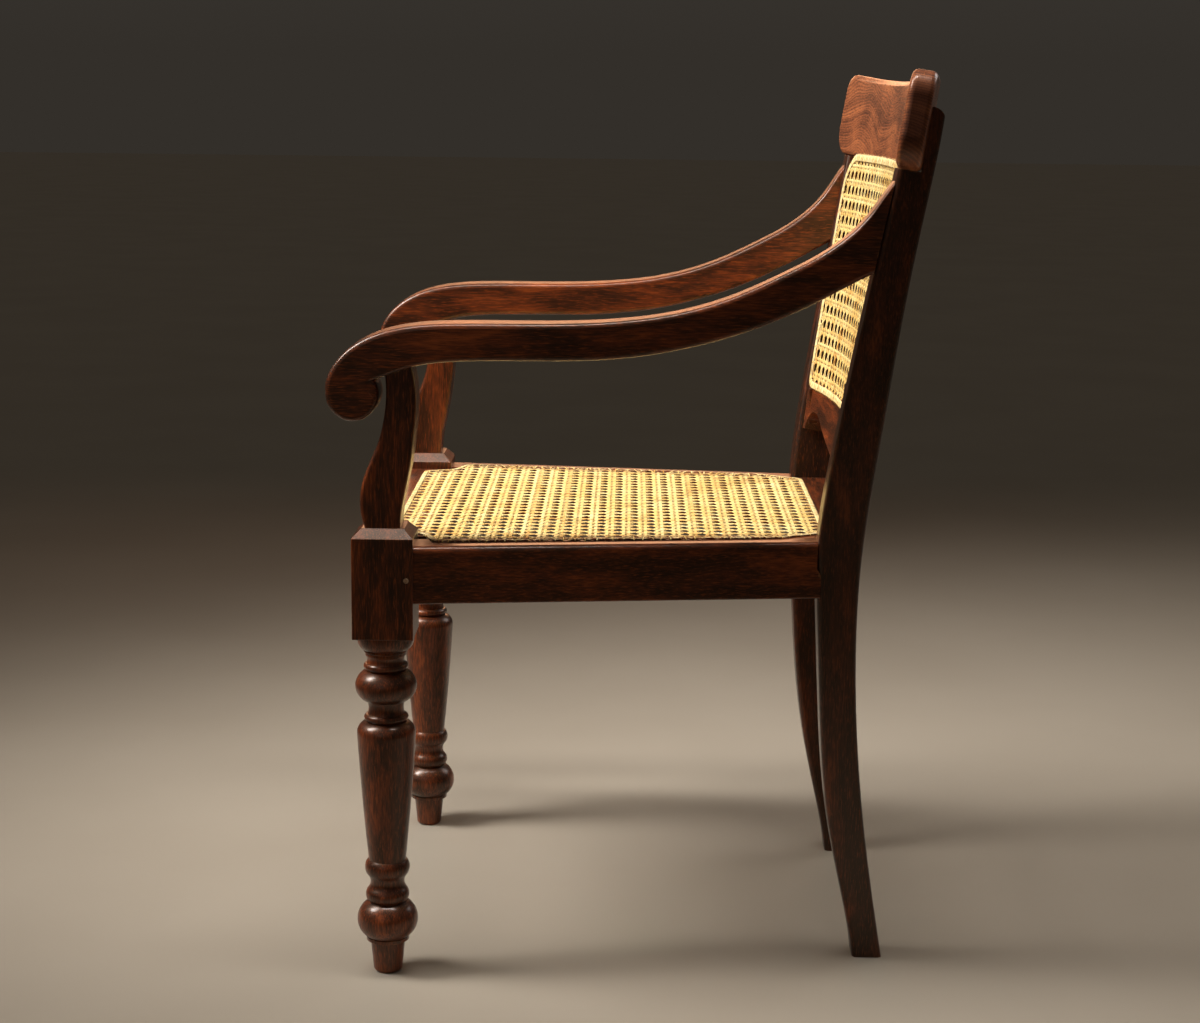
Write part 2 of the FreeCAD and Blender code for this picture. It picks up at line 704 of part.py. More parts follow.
def make_pieces():
    """Every piece of the chair, fitted to its neighbours: the left ones, their mirrors and the rest."""
    envelope = post_blank(0)
    tablet, notch = tablet_blank()
    notched = envelope.cut(notch)
    tablet = tablet.cut(notched).cut(mirrored(notched))
    side_sockets = side_rail_tenons()
    pegs = side_pegs()
    foot_dowel = support_foot_dowel()
    head_dowel = support_head_dowel()
    tail_dowel = arm_tail_dowel()
    crest_dowel = tablet_dowel()

    post = post_blank(POST_ROUND).cut(notch).cut(post_top_waste())
    for socket in side_sockets + [rear_rail_tenon(), low_rail_tenon(), tail_dowel, crest_dowel]:
        post = post.cut(socket)

    arm = arm_blank().cut(post_blank(0, 30.0))
    support = arm_support_blank().cut(arm)
    arm = arm.cut(head_dowel).cut(tail_dowel)
    support = support.cut(head_dowel).cut(foot_dowel)

    rail = side_rail(envelope.translated(V(0, -JOINT_GAP, 0)))
    for hole in pegs:
        rail = rail.cut(hole)

    leg = front_leg([front_rail_tenon(), foot_dowel] + side_sockets + pegs)

    low_rail = low_rail_blank().cut(envelope).cut(mirrored(envelope))
    low_rail = low_rail.fuse(low_rail_tenon()).fuse(mirrored(low_rail_tenon())).removeSplitter()

    tablet = tablet.cut(crest_dowel).cut(mirrored(crest_dowel))

    front = front_rail()
    for hole in pegs + [mirrored(hole) for hole in pegs]:
        front = front.cut(hole)

    pieces = {}
    pairs = {"front_leg": leg, "back_leg": post, "arm": arm, "arm_support": support, "side_seat_rail": rail}
    for name, shape in pairs.items():
        pieces["left_" + name] = shape
        pieces["right_" + name] = mirrored(shape)
    pieces["front_seat_rail"] = front
    pieces["rear_seat_rail"] = rear_rail([envelope, mirrored(envelope)])
    pieces["crest_tablet"] = tablet
    pieces["lower_back_rail"] = low_rail
    pieces["seat_cane"] = seat_cane()
    pieces["seat_cane_binder"] = seat_binder()
    pieces["back_cane"] = back_cane()
    pieces["back_cane_binder"] = back_binder()
    groups = {"tenon_pegs": pegs, "support_foot_dowels": [foot_dowel], "support_head_dowels": [head_dowel],
              "arm_tail_dowels": [tail_dowel], "crest_dowels": [crest_dowel]}
    for name, pins in groups.items():
        pieces[name] = Part.makeCompound(pins + [mirrored(pin) for pin in pins])
    return pieces


def main():
    """Make every piece, centre the chair over the origin and write one file a piece."""
    os.makedirs("parts", exist_ok=True)
    pieces = make_pieces()
    ends = Part.makeCompound([pieces["left_arm"], pieces["crest_tablet"], pieces["left_back_leg"]])
    shift = V(0, -ends.optimalBoundingBox(False).Center.y, 0)
    print("moved", shift)
    for name, shape in pieces.items():
        shape.translate(shift)
        solids = shape.Solids
        print(name, len(solids), shape.isValid(), round(shape.Volume))
        piece = solids[0] if len(solids) == 1 else Part.makeCompound(solids)
        piece.exportStep("parts/" + name + ".step")


main()
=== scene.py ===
"""Looks of a colonial armchair: polished rosewood frame, hand-woven cane seat and back.

Everything is in metres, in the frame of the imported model: the chair faces -Y, the sitter's left is +X,
and Z is up. The wooden pieces keep their solids and get a finish. The cane is woven here, strand by strand.
"""
import logging
import math
import random
from dataclasses import dataclass, field
from enum import Enum
from typing import Any, Mapping, Sequence

import bpy
import numpy as np
from mathutils import Matrix, Vector
from mathutils.kdtree import KDTree


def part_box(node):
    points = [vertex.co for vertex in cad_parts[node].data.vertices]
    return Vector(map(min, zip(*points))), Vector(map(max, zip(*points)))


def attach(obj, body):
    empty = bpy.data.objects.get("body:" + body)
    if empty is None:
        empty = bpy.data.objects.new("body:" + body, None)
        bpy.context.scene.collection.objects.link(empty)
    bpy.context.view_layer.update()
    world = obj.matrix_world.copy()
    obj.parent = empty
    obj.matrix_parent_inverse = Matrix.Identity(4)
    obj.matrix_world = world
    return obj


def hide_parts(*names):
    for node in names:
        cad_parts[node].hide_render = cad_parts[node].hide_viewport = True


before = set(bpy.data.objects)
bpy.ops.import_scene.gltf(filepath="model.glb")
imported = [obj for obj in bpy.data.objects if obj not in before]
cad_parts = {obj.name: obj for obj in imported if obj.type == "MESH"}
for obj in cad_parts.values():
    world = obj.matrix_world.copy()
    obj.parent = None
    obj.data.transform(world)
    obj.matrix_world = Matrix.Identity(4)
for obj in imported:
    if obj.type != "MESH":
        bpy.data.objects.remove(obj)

Tree = bpy.types.NodeTree
Socket = bpy.types.NodeSocket
Material = bpy.types.Material
Array = np.ndarray
Range = tuple[float, float]
Triple = tuple[float, float, float]

LOG = logging.getLogger("armchair")
MM = 0.001
BODY = "root"
SOIL_AND_SHADE_LAYER = "soil_and_shade"
RING = 4  # corners round a strand
RING_LOW = 2  # the first of them, which lie on its underside
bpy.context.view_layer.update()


def linear(hex_colour: str) -> tuple[float, float, float, float]:
    """Turn an sRGB hex colour into linear light.

    Args:
        hex_colour: Colour such as "#8A4B2A".

    Returns:
        Red, green, blue and an alpha of one.
    """
    channels = []
    for start in (1, 3, 5):
        value = int(hex_colour[start:start + 2], 16) / 255.0
        channels.append(value / 12.92 if value <= 0.04045 else ((value + 0.055) / 1.055) ** 2.4)
    return (channels[0], channels[1], channels[2], 1.0)


def add_node(tree: Tree, kind: str, inputs: Mapping[Any, Any] | None = None, output: str | int = 0,
             stops: Sequence[tuple[float, str]] = (), span: Range | None = None,
             **settings: Any) -> Socket | None:
    """Add one shader node with its settings, values and links.

    Args:
        tree: Node tree of a material or a world.
        kind: Node type without its "ShaderNode" prefix.
        inputs: Values and output sockets by the name or number of the input that takes them.
        output: Name or number of the output that is wanted.
        stops: Places and hex colours of a colour ramp.
        span: Values of a pattern at which a mark begins and is full.
        settings: Properties of the node itself.

    Returns:
        That output, or None from a node that ends its tree.
    """
    node = tree.nodes.new("ShaderNode" + kind)
    for name, value in settings.items():
        setattr(node, name, value)
    if span:
        node.inputs["From Min"].default_value, node.inputs["From Max"].default_value = span
    for key, value in (inputs or {}).items():
        if isinstance(value, Socket):
            tree.links.new(value, node.inputs[key])
        else:
            node.inputs[key].default_value = value
    for number, (place, colour) in enumerate(stops):
        elements = node.color_ramp.elements
        element = elements[number] if number < 2 else elements.new(place)
        element.position = place
        element.color = linear(colour)
    return node.outputs[output] if node.outputs else None


def new_material(name: str) -> tuple[Material, Tree]:
    """Make an empty node material.

    Args:
        name: What the material is.

    Returns:
        The material and its node tree, with no nodes in it.
    """
    material = bpy.data.materials.new(name)
    material.use_nodes = True
    material.node_tree.nodes.clear()
    return material, material.node_tree


def new_piece(name: str, points: Array, faces: Sequence[Sequence[int]]) -> bpy.types.Object:
    """Make a smooth mesh piece that rides on the chair.

    Args:
        name: Name of the piece.
        points: Corner points, one row each, in metres.
        faces: Corner numbers of each face.

    Returns:
        The new object.
    """
    mesh = bpy.data.meshes.new(name)
    mesh.from_pydata(points.tolist(), [], faces)
    mesh.update()
    mesh.shade_smooth()
    piece = bpy.data.objects.new(name, mesh)
    bpy.context.scene.collection.objects.link(piece)
    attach(piece, BODY)
    return piece


class Grain(Enum):
    """The way the grain of a piece of wood runs, as the turn that brings it to the pattern's Z axis."""

    ACROSS = (0.0, math.pi / 2.0, 0.0)
    FORWARD = (math.pi / 2.0, 0.0, 0.0)
    UPRIGHT = (0.0, 0.0, 0.0)

    def axis(self) -> Triple:
        """Direction of the grain on the chair."""
        return {Grain.ACROSS: (1.0, 0.0, 0.0), Grain.FORWARD: (0.0, 1.0, 0.0)}.get(self, (0.0, 0.0, 1.0))


@dataclass(frozen=True)
class PolishedRosewood:
    """Rosewood, sawn and turned, then French polished.

    The eye sees a dark brown ground with fine darker and redder streaks along the grain, short open pores,
    and a thin hard polish that gives bright lines along every rounded edge.
    """

    name: str
    grain: Grain
    seed: float = 0.0
    seed_spread: Triple = (1.0, 0.7, 1.3)
    dark: str = "#120703"
    brown: str = "#391A0C"
    red: str = "#642C13"
    orange: str = "#9A4A1E"
    tone_places: tuple[float, float, float, float] = (0.33, 0.46, 0.56, 0.7)
    tone_width: float = 22.0 * MM
    tone_length: float = 105.0 * MM
    streak_width: float = 1.9 * MM
    streak_length: float = 27.0 * MM
    streak_share: float = 0.36
    swirl: float = 7.0 * MM
    swirl_size: float = 130.0 * MM
    pore_width: float = 1.1 * MM
    pore_length: float = 11.0 * MM
    pore_range: Range = (0.54, 0.72)
    pore_dark: float = 0.55
    pore_rough: float = 0.18
    pore_depth: float = 0.1 * MM
    pore_relief: float = 0.25
    # Light flecks: partly the wood's figure, partly a painted glint of pores catching light.
    fleck_and_glint_range: Range = (0.45, 0.3)
    fleck_and_glint: float = 0.5
    end_range: Range = (0.55, 1.0)
    end_dark: float = 0.45
    edge_radius: float = 2.0 * MM
    edge_range: Range = (0.985, 0.86)
    patch_size: float = 9.0 * MM
    patch_range: Range = (0.5, 0.6)
    worn: str = "#A9754A"
    wear: float = 0.6
    wear_rough: float = 0.3
    polish: str = "#FFD0AC"
    roughness: float = 0.36
    ior: float = 1.5
    gloss: float = 0.5
    lacquer: float = 0.42
    lacquer_roughness: float = 0.17

    def make(self) -> Material:
        """Build the material.

        Returns:
            The finished material.
        """
        material, tree = new_material(self.name)
        place = add_node(tree, "TexCoord", output="Object")
        along = add_node(tree, "Mapping", {
            "Vector": place, "Rotation": self.grain.value,
            "Location": tuple(self.seed * share for share in self.seed_spread)})
        figure = self.figure(tree, self.bend(tree, along))
        pores, flecks_and_glints = self.pores(tree, along)
        worn = self.worn_edges(tree, place)
        tones = zip(self.tone_places, (self.dark, self.brown, self.red, self.orange))
        colour = add_node(tree, "ValToRGB", {"Fac": figure}, stops=tuple(tones))
        pored = add_node(tree, "Math", {0: pores, 1: self.pore_dark}, operation="MULTIPLY")
        # The light flecks mixed in first are partly a painted glint of pores catching light.
        for share, tint in ((flecks_and_glints, self.orange), (pored, self.dark), (self.end_grain(tree), self.dark),
                            (worn, self.worn)):
            colour = add_node(tree, "Mix", {"Factor": share, "A": colour, "B": linear(tint)},
                              output="Result", data_type="RGBA")
        rough = self.roughness
        for mark, more in ((pores, self.pore_rough), (worn, self.wear_rough)):
            rough = add_node(tree, "Math", {0: mark, 1: more, 2: rough}, operation="MULTIPLY_ADD")
        bump = add_node(tree, "Bump", {"Height": pores, "Strength": self.pore_relief,
                                       "Distance": self.pore_depth}, invert=True)
        shader = add_node(tree, "BsdfPrincipled", {
            "Base Color": colour, "Roughness": rough, "IOR": self.ior, "Normal": bump,
            "Specular IOR Level": self.gloss, "Specular Tint": linear(self.polish),
            "Coat Weight": self.lacquer, "Coat Roughness": self.lacquer_roughness})
        add_node(tree, "OutputMaterial", {"Surface": shader})
        return material

    def stretch(self, tree: Tree, place: Socket, width: float, length: float) -> Socket:
        """Scale places so that one unit is this wide across the grain and this long along it.

        Args:
            tree: Node tree of the material.
            place: Places in metres, with the grain along Z.
            width: Size across the grain.
            length: Size along the grain.

        Returns:
            The scaled places.
        """
        scale = (1.0 / width, 1.0 / width, 1.0 / length)
        return add_node(tree, "VectorMath", {0: place, 1: scale}, operation="MULTIPLY")

    def bend(self, tree: Tree, place: Socket) -> Socket:
        """Let the grain wander from a straight line.

        Args:
            tree: Node tree of the material.
            place: Places in metres, with the grain along Z.

        Returns:
            The places, moved by the swirl.
        """
        wander = add_node(tree, "TexNoise", {"Vector": place, "Scale": 1.0 / self.swirl_size, "Detail": 1.0,
                                             "Roughness": 0.4}, output="Color")
        middle = add_node(tree, "VectorMath", {0: wander, 1: (0.5, 0.5, 0.5)}, operation="SUBTRACT")
        reach = 2.0 * self.swirl
        return add_node(tree, "VectorMath", {0: middle, 1: (reach, reach, reach), 2: place},
                        operation="MULTIPLY_ADD")

    def figure(self, tree: Tree, place: Socket) -> Socket:
        """Draw broad darker and lighter bands with fine streaks in them.

        Args:
            tree: Node tree of the material.
            place: Places in metres, with the grain along Z.

        Returns:
            The figure of the wood, about one half on average.
        """
        bands = add_node(tree, "TexNoise", {
            "Vector": self.stretch(tree, place, self.tone_width, self.tone_length),
            "Scale": 1.0, "Detail": 3.0, "Roughness": 0.6})
        streaks = add_node(tree, "TexNoise", {
            "Vector": self.stretch(tree, place, self.streak_width, self.streak_length),
            "Scale": 1.0, "Detail": 3.0, "Roughness": 0.6})
        return add_node(tree, "Mix", {"Factor": self.streak_share, "A": bands, "B": streaks})

    def pores(self, tree: Tree, place: Socket) -> tuple[Socket, Socket]:
        """Draw the short open pores and the light flecks between them, coarse enough to show. The flecks
        are partly the wood's own figure and partly a painted glint of pores catching light.

        Args:
            tree: Node tree of the material.
            place: Places in metres, with the grain along Z.

        Returns:
            One in a pore and zero elsewhere, and the strength of the flecks, which are partly painted
            glints.
        """
        fibre = add_node(tree, "TexNoise", {
            "Vector": self.stretch(tree, place, self.pore_width, self.pore_length),
            "Scale": 1.0, "Detail": 2.0, "Roughness": 0.5})
        pores = add_node(tree, "MapRange", {"Value": fibre}, span=self.pore_range)
        flecks_and_glints = add_node(tree, "MapRange", {"Value": fibre, "To Max": self.fleck_and_glint}, span=self.fleck_and_glint_range)
        return pores, flecks_and_glints

    def end_grain(self, tree: Tree) -> Socket:
        """Find where the wood is cut across the grain, which drinks the polish and turns darker.

        Args:
            tree: Node tree of the material.

        Returns:
            How much darker each place is, from zero to one.
        """
        facing = add_node(tree, "TexCoord", output="Normal")
        cut = add_node(tree, "VectorMath", {0: facing, 1: self.grain.axis()}, output="Value",
                       operation="DOT_PRODUCT")
        square = add_node(tree, "Math", {0: cut}, operation="ABSOLUTE")
        return add_node(tree, "MapRange", {"Value": square, "To Max": self.end_dark}, span=self.end_range)

    def worn_edges(self, tree: Tree, place: Socket) -> Socket:
        """Find the sharp edges, where hands and cloths have rubbed the colour away in patches.

        Args:
            tree: Node tree of the material.
            place: Places in metres.

        Returns:
            How worn each place is, from zero to one.
        """
        soft = add_node(tree, "Bevel", {"Radius": self.edge_radius}, samples=4)
        face = add_node(tree, "NewGeometry", output="Normal")
        same = add_node(tree, "VectorMath", {0: soft, 1: face}, output="Value", operation="DOT_PRODUCT")
        edge = add_node(tree, "MapRange", {"Value": same}, span=self.edge_range)
        patch = add_node(tree, "TexNoise", {"Vector": place, "Scale": 1.0 / self.patch_size, "Detail": 4.0,
                                            "Roughness": 0.65})
        patch = add_node(tree, "MapRange", {"Value": patch, "To Max": self.wear}, span=self.patch_range)
        return add_node(tree, "Math", {0: edge, 1: patch}, operation="MULTIPLY")


@dataclass(frozen=True)
class HeartRosewood(PolishedRosewood):
    """Rosewood from the heart of the tree, where it is nearly black."""

    brown: str = "#221007"
    red: str = "#401B0D"
    orange: str = "#7C3B19"


@dataclass(frozen=True)
class HighlitPegRosewood(PolishedRosewood):
    """Rosewood from the outer rings of the tree, pale and with paler rubbed rims, so that its pegs show as
    dots in the dark wood; the paleness is partly a painted highlight of the light that the pegs catch.
    """

    # Pale colours and a pale rubbed rim: partly a painted highlight on the pegs.
    dark: str = "#3A2216"
    brown: str = "#8A694C"
    red: str = "#A98663"
    orange: str = "#C4A27E"
    streak_width: float = 2.0 * MM
    worn: str = "#D8BE9E"
    wear: float = 0.9


@dataclass(frozen=True)
class FlamedRosewood(PolishedRosewood):
    """Rosewood cut through a crotch of the tree, then French polished.

    The eye sees fine lines that bend and swirl like a flame, on an orange-brown ground with purple-brown
    clouds in it.
    """

    dark: str = "#45231A"
    brown: str = "#7C4329"
    red: str = "#A35C38"
    orange: str = "#CF7B45"
    end_dark: float = 0.7
    flame: float = 120.0 * MM
    flame_size: float = 130.0 * MM
    band: float = 12.0 * MM
    line_gap: float = 3.4 * MM
    line_wobble: float = 1.5
    line_strength: float = 0.07
    cloud: float = 60.0 * MM
    cloud_share: float = 0.6

    def figure(self, tree: Tree, place: Socket) -> Socket:
        """Draw the flame as the height lines of a smooth hilly field.

        Args:
            tree: Node tree of the material.
            place: Places in metres, with the grain along Z.

        Returns:
            The figure of the wood, about one half on average.
        """
        hills = add_node(tree, "TexNoise", {"Vector": place, "Scale": 1.0 / self.flame_size, "Detail": 0.5,
                                            "Roughness": 0.4})
        level = add_node(tree, "SeparateXYZ", {"Vector": place}, output="X")
        height = add_node(tree, "Math", {0: hills, 1: self.flame, 2: level}, operation="MULTIPLY_ADD")
        bands = add_node(tree, "TexNoise", {"W": height, "Scale": 1.0 / self.band, "Detail": 4.0,
                                            "Roughness": 0.68}, noise_dimensions="1D")
        clouds = add_node(tree, "TexNoise", {"Vector": place, "Scale": 1.0 / self.cloud, "Detail": 3.0,
                                             "Roughness": 0.5})
        wobble = add_node(tree, "Math", {0: bands, 1: self.line_wobble * self.line_gap, 2: height},
                          operation="MULTIPLY_ADD")
        phase = add_node(tree, "Math", {0: wobble, 1: 2.0 * math.pi / self.line_gap}, operation="MULTIPLY")
        lines = add_node(tree, "Math", {0: phase}, operation="SINE")
        ground = add_node(tree, "Mix", {"Factor": self.cloud_share, "A": bands, "B": clouds})
        return add_node(tree, "Math", {0: lines, 1: self.line_strength, 2: ground},
                        operation="MULTIPLY_ADD")


@dataclass(frozen=True)
class SplitCane:
    """Rattan skin, split into flat strands and left unvarnished.

    The eye sees golden strands that differ a little from each other, fine fibres along each, drawn coarse
    enough to show, and a soft sheen on the rounded outer skin. Dirt turns it red-brown, and so does painted
    shade on the flanks and undersides of the strands.
    """

    name: str
    pale: str = "#FBE6A4"
    gold: str = "#F2CA78"
    brown: str = "#D89A48"
    # This red-brown paints both the cane's stains and dirt and the shade on the strands' flanks and
    # undersides.
    stain_and_shade: str = "#662208"
    gold_range: Range = (0.25, 0.75)
    mottle: float = 30.0 * MM
    pale_range: Range = (0.45, 0.7)
    pale_most: float = 0.55
    stain_range: Range = (0.42, 0.28)
    stain_most: float = 0.4
    speck: float = 6.0 * MM
    speck_range: Range = (0.42, 0.56)
    speck_least: float = 0.4
    fibre: float = 0.7 * MM
    fibre_depth: float = 0.1 * MM
    fibre_relief: float = 0.25
    roughness: float = 0.5
    ior: float = 1.47
    gloss: float = 0.2

    def make(self) -> Material:
        """Build the material.

        Returns:
            The finished material.
        """
        material, tree = new_material(self.name)
        place = add_node(tree, "TexCoord", output="Object")
        strand = add_node(tree, "NewGeometry", output="Random Per Island")
        colour = add_node(tree, "ValToRGB", {"Fac": strand}, stops=(
            (0.0, self.brown), (self.gold_range[0], self.gold), (self.gold_range[1], self.gold),
            (1.0, self.pale)))
        mottle = add_node(tree, "TexNoise", {"Vector": place, "Scale": 1.0 / self.mottle, "Detail": 5.0,
                                             "Roughness": 0.6})
        pale = add_node(tree, "MapRange", {"Value": mottle, "To Max": self.pale_most},
                        span=self.pale_range)
        stained = add_node(tree, "MapRange", {"Value": mottle, "To Max": self.stain_most},
                           span=self.stain_range)
        for share, tint in ((pale, self.pale), (stained, self.stain_and_shade),
                            (self.soil_and_shade_marks(tree, place), self.stain_and_shade)):
            colour = add_node(tree, "Mix", {"Factor": share, "A": colour, "B": linear(tint)},
                              output="Result", data_type="RGBA")
        fibre = add_node(tree, "TexNoise", {"Vector": place, "Scale": 1.0 / self.fibre, "Detail": 2.0})
        bump = add_node(tree, "Bump", {"Height": fibre, "Strength": self.fibre_relief,
                                       "Distance": self.fibre_depth})
        shader = add_node(tree, "BsdfPrincipled", {
            "Base Color": colour, "Roughness": self.roughness, "IOR": self.ior,
            "Specular IOR Level": self.gloss, "Normal": bump})
        add_node(tree, "OutputMaterial", {"Surface": shader})
        return material

    def soil_and_shade_marks(self, tree: Tree, place: Socket) -> Socket:
        """Break the dirt that the strands have gathered, and the painted shade on their flanks and
        undersides, into specks.

        Args:
            tree: Node tree of the material.
            place: Places in metres.

        Returns:
            How dirty and how darkened by painted shade each place is.
        """
        soil_and_shade = add_node(tree, "Attribute", output="Fac", attribute_name=SOIL_AND_SHADE_LAYER)
        specks = add_node(tree, "TexNoise", {"Vector": place, "Scale": 1.0 / self.speck, "Detail": 3.0,
                                             "Roughness": 0.6})
        speck_share = add_node(tree, "MapRange", {"Value": specks, "To Min": self.speck_least},
                         span=self.speck_range)
        return add_node(tree, "Math", {0: soil_and_shade, 1: speck_share}, operation="MULTIPLY")


@dataclass(frozen=True)
class BinderCane(SplitCane):
    """Broad rattan skin for the border, paler than the strands of the weave."""

    pale: str = "#FCEDBE"
    gold: str = "#F4DA9A"
    brown: str = "#E4BE78"


@dataclass(frozen=True)
class StudioPaper:
    """Matt paper under the chair: pale, plain and a little mottled."""

    name: str = "matt_studio_paper"
    tone: str = "#A19482"
    shade: str = "#9D907E"
    mottle: float = 400.0 * MM
    mottle_range: Range = (0.35, 0.65)
    roughness: float = 0.85

    def make(self) -> Material:
        """Build the material.

        Returns:
            The finished material.
        """
        material, tree = new_material(self.name)
        place = add_node(tree, "TexCoord", output="Object")
        cloud = add_node(tree, "TexNoise", {"Vector": place, "Scale": 1.0 / self.mottle, "Detail": 3.0})
        colour = add_node(tree, "ValToRGB", {"Fac": cloud},
                          stops=tuple(zip(self.mottle_range, (self.shade, self.tone))))
        shader = add_node(tree, "BsdfPrincipled", {"Base Color": colour, "Roughness": self.roughness})
        add_node(tree, "OutputMaterial", {"Surface": shader})
        return material


@dataclass
class WoodenFrame:
    """The wooden pieces, which keep their solids and are dressed by the way their grain runs."""

    upright: tuple[str, ...] = ("front_leg", "back_leg", "arm_support")
    forward: tuple[str, ...] = ("arm", "side_seat_rail")
    across: tuple[str, ...] = ("front_seat_rail", "rear_seat_rail", "lower_back_rail")
    pins: tuple[str, ...] = ("tenon_pegs", "support_foot_dowels", "support_head_dowels", "arm_tail_dowels",
                             "crest_dowels")
    heart: tuple[str, ...] = ("back_leg",)
    seed_step: float = 0.37
    tablet_seed: float = 5.3
    pin_seed: float = 8.1

    def dress(self) -> None:
        """Give every wooden piece its own cut of the wood."""
        seed = 0.0
        for node, grain in self.boards():
            seed += self.seed_step
            cut = HeartRosewood if node.endswith(self.heart) else PolishedRosewood
            self.finish(node, cut("polished_rosewood_" + node, grain, seed))
        flamed = FlamedRosewood("polished_rosewood_flamed", Grain.ACROSS, self.tablet_seed)
        self.finish("crest_tablet", flamed)
        for node in self.pins:
            self.finish(node, HighlitPegRosewood("polished_rosewood_peg", Grain.FORWARD, self.pin_seed))

    def boards(self) -> list[tuple[str, Grain]]:
        """List the pieces that are sawn from plain boards.

        Returns:
            Name of each piece, and the way its grain runs.
        """
        paired = [(kind, Grain.UPRIGHT) for kind in self.upright]
        paired += [(kind, Grain.FORWARD) for kind in self.forward]
        pieces = [(side + kind, grain) for kind, grain in paired for side in ("left_", "right_")]
        return pieces + [(kind, Grain.ACROSS) for kind in self.across]

    def finish(self, node: str, wood: PolishedRosewood) -> None:
        """Give one wooden piece its finish.

        Args:
            node: Name of the wooden piece.
            wood: The cut of wood that it is made of.
        """
        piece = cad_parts[node]
        piece.data.materials.clear()
        piece.data.materials.append(bpy.data.materials.get(wood.name) or wood.make())
        LOG.info("%s finished in %s", node, wood.name)


@dataclass
class TurnedForms:
    """Small turned forms that finish the wood: a shoulder under each leg block, an eye in each scroll."""

    block_bottom: float = 346.0 * MM
    sunk: float = 0.3 * MM
    shoulder: float = 28.3 * MM
    shoulder_height: float = 14.6 * MM
    neck: float = 21.7 * MM
    neck_bore: float = 18.0 * MM
    scroll_inner: float = 206.0 * MM
    scroll_outer: float = 250.0 * MM
    scroll_back: float = 25.3 * MM
    eye: float = 25.3 * MM
    eye_bore: float = 4.0 * MM
    eye_round: float = 5.5 * MM
    turn_steps: int = 64
    round_steps: int = 8

    def build(self) -> None:
        """Turn the forms of both sides."""
        for side, sign in (("left", 1.0), ("right", -1.0)):
            self.turn_shoulder(side)
            self.turn_eye(side, sign)

    def quarter(self, middle: tuple[float, float], size: tuple[float, float], start: float) -> list[Array]:
        """Points of a quarter of an ellipse, counter-clockwise.

        Args:
            middle: Centre of the ellipse.
            size: Its two half axes.
            start: Angle that the quarter starts at.

        Returns:
            Points of the quarter in the plane of the profile.
        """
        turns = start + np.linspace(0.0, math.pi / 2.0, self.round_steps + 1)
        return [np.array(middle) + np.array(size) * (math.cos(turn), math.sin(turn)) for turn in turns]

    def turn_shoulder(self, side: str) -> None:
        """Turn the rounded shoulder between a leg's block and its neck.

        Args:
            side: Which side of the chair the leg is on.
        """
        low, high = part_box(side + "_front_leg")
        origin = Vector(((low[0] + high[0]) / 2.0, (low[1] + high[1]) / 2.0, self.block_bottom))
        size = (self.shoulder - self.neck, self.shoulder_height)
        swell = self.quarter((self.neck, 0.0), size, 1.5 * math.pi)
        profile = [np.array((self.neck_bore, self.sunk)), np.array((self.neck_bore, -self.shoulder_height))]
        profile += swell + [np.array((self.shoulder, self.sunk))]
        self.revolve(side + "_front_leg_shoulder", side + "_front_leg", origin, Grain.UPRIGHT, profile)

    def turn_eye(self, side: str, sign: float) -> None:
        """Turn the round eye that an arm's scroll closes on.

        Args:
            side: Which side of the chair the arm is on.
            sign: One on the left, minus one on the right.
        """
        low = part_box(side + "_arm")[0]
        middle = sign * (self.scroll_inner + self.scroll_outer) / 2.0
        origin = Vector((middle, low[1] + self.scroll_back, low[2] + self.eye + self.sunk))
        half = (self.scroll_outer - self.scroll_inner) / 2.0 - self.sunk
        rim, flat = self.eye - self.eye_round, half - self.eye_round
        corner = (self.eye_round, self.eye_round)
        profile = [np.array((self.eye_bore, half)), np.array((self.eye_bore, -half))]
        profile += self.quarter((rim, -flat), corner, 1.5 * math.pi)
        profile += self.quarter((rim, flat), corner, 0.0)
        self.revolve(side + "_arm_scroll_eye", side + "_arm", origin, Grain.ACROSS, profile)

    def revolve(self, name: str, node: str, origin: Vector, axis: Grain, profile: list[Array]) -> None:
        """Turn a closed profile about an axis, in the wood of the piece that it finishes.

        Args:
            name: Name of the new piece.
            node: Name of the piece that it finishes.
            origin: A place on the axis.
            axis: The way the axis runs.
            profile: Radius and place along the axis of each corner, counter-clockwise.
        """
        turns = np.linspace(0.0, 2.0 * math.pi, self.turn_steps, endpoint=False)
        count = len(profile)
        points = []
        faces = []
        for ring, turn in enumerate(turns):
            after = (ring + 1) % self.turn_steps
            for corner, (radius, along) in enumerate(profile):
                place = (radius * math.cos(turn), radius * math.sin(turn), along)
                points.append(place if axis is Grain.UPRIGHT else (place[2], place[0], place[1]))
                beside = (corner + 1) % count
                faces.append([ring * count + corner, after * count + corner, after * count + beside,
                              ring * count + beside])
        piece = new_piece(name, np.array(points) + np.array(origin), faces)
        piece.data.materials.append(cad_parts[node].data.materials[0])
        LOG.info("%s turned with %d faces", name, len(faces))


